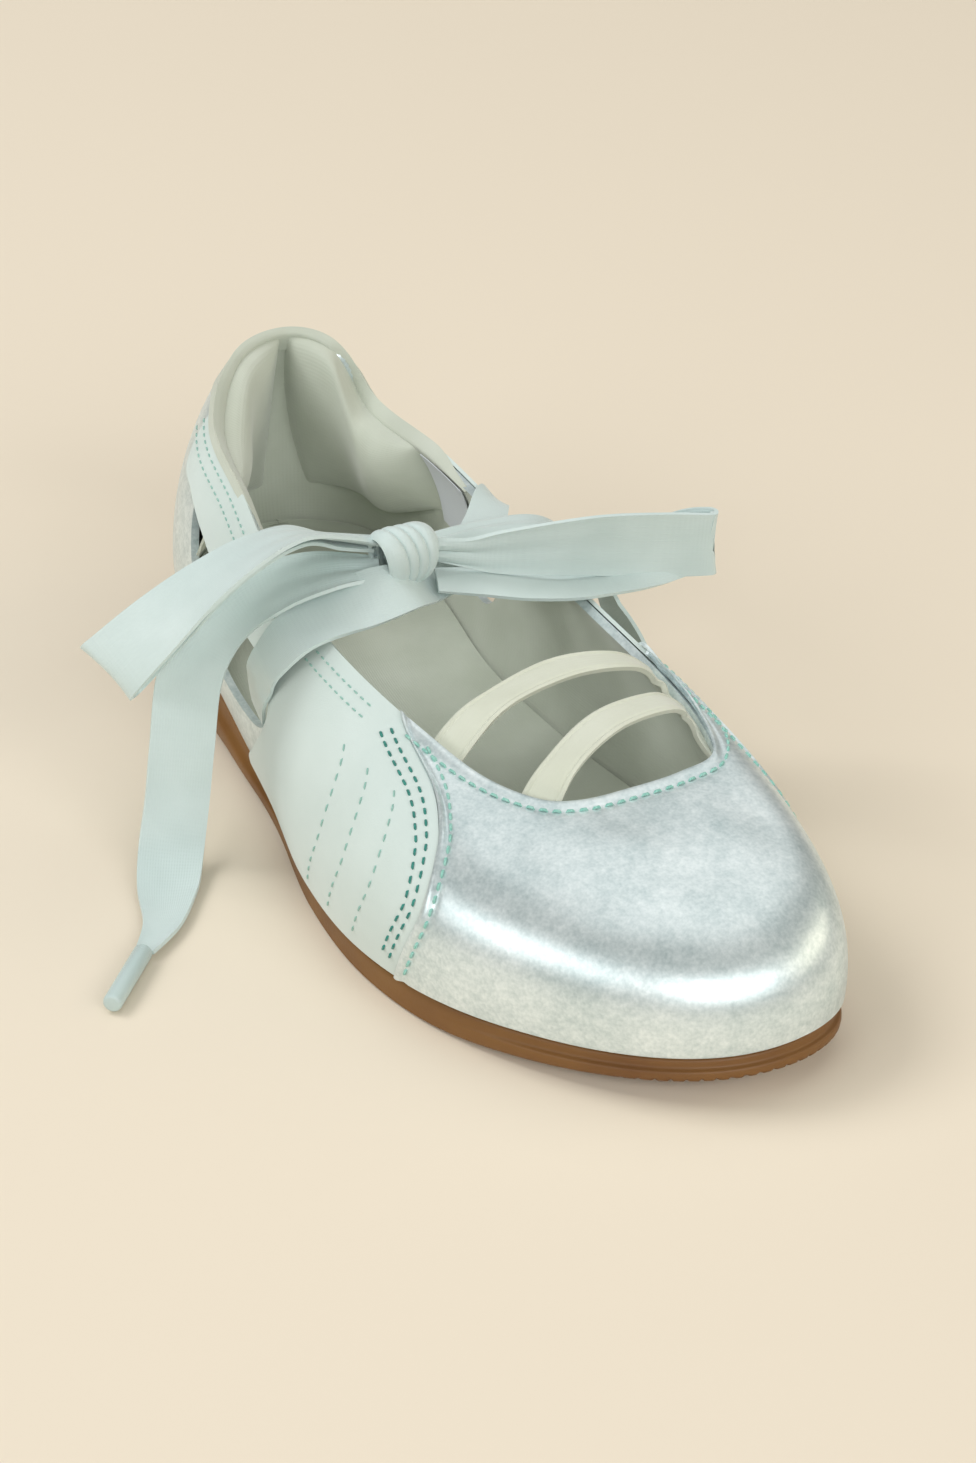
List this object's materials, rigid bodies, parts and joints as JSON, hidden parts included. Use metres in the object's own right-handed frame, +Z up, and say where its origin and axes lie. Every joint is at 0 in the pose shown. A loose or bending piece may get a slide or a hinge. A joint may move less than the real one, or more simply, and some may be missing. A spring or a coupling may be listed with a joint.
{
  "type": "ballet sneaker",
  "caption": "Right ballet sneaker with a satin toe, soft side quarters, padded heel collar, elastic instep straps and a ribbon tied in a bow on a thin gum sole.",
  "frame": {"origin": "middle of the shoe's own box, without the free ribbon, on the floor plane under the sole", "axes": "+X towards the toe, +Y towards the inner (medial) side, +Z up from the floor"},
  "size_m": [0.2446, 0.1547, 0.0698],
  "materials": {
    "gum": "matte translucent gum",
    "lining": "matte textile",
    "satin": "bright satin",
    "nubuck": "matte",
    "elastic": "matte woven",
    "ribbon": "soft sheen",
    "film": "clear film over ribbon"
  },
  "bodies": {
    "root": {"outsole": "gum", "insole": "lining", "upper": "satin", "vamp": "satin", "quarter_outer": "nubuck", "quarter_inner": "nubuck", "collar_pad_outer": "lining", "collar_pad_inner": "lining", "elastic_front": "elastic", "elastic_rear": "elastic", "ribbon_band": "ribbon", "ribbon_knot": "ribbon", "ribbon_loop_outer": "ribbon", "ribbon_loop_inner": "ribbon", "ribbon_end_outer": "ribbon", "ribbon_end_inner": "ribbon", "ribbon_tip_outer": "film", "ribbon_tip_inner": "film"}
  },
  "joints": []
}
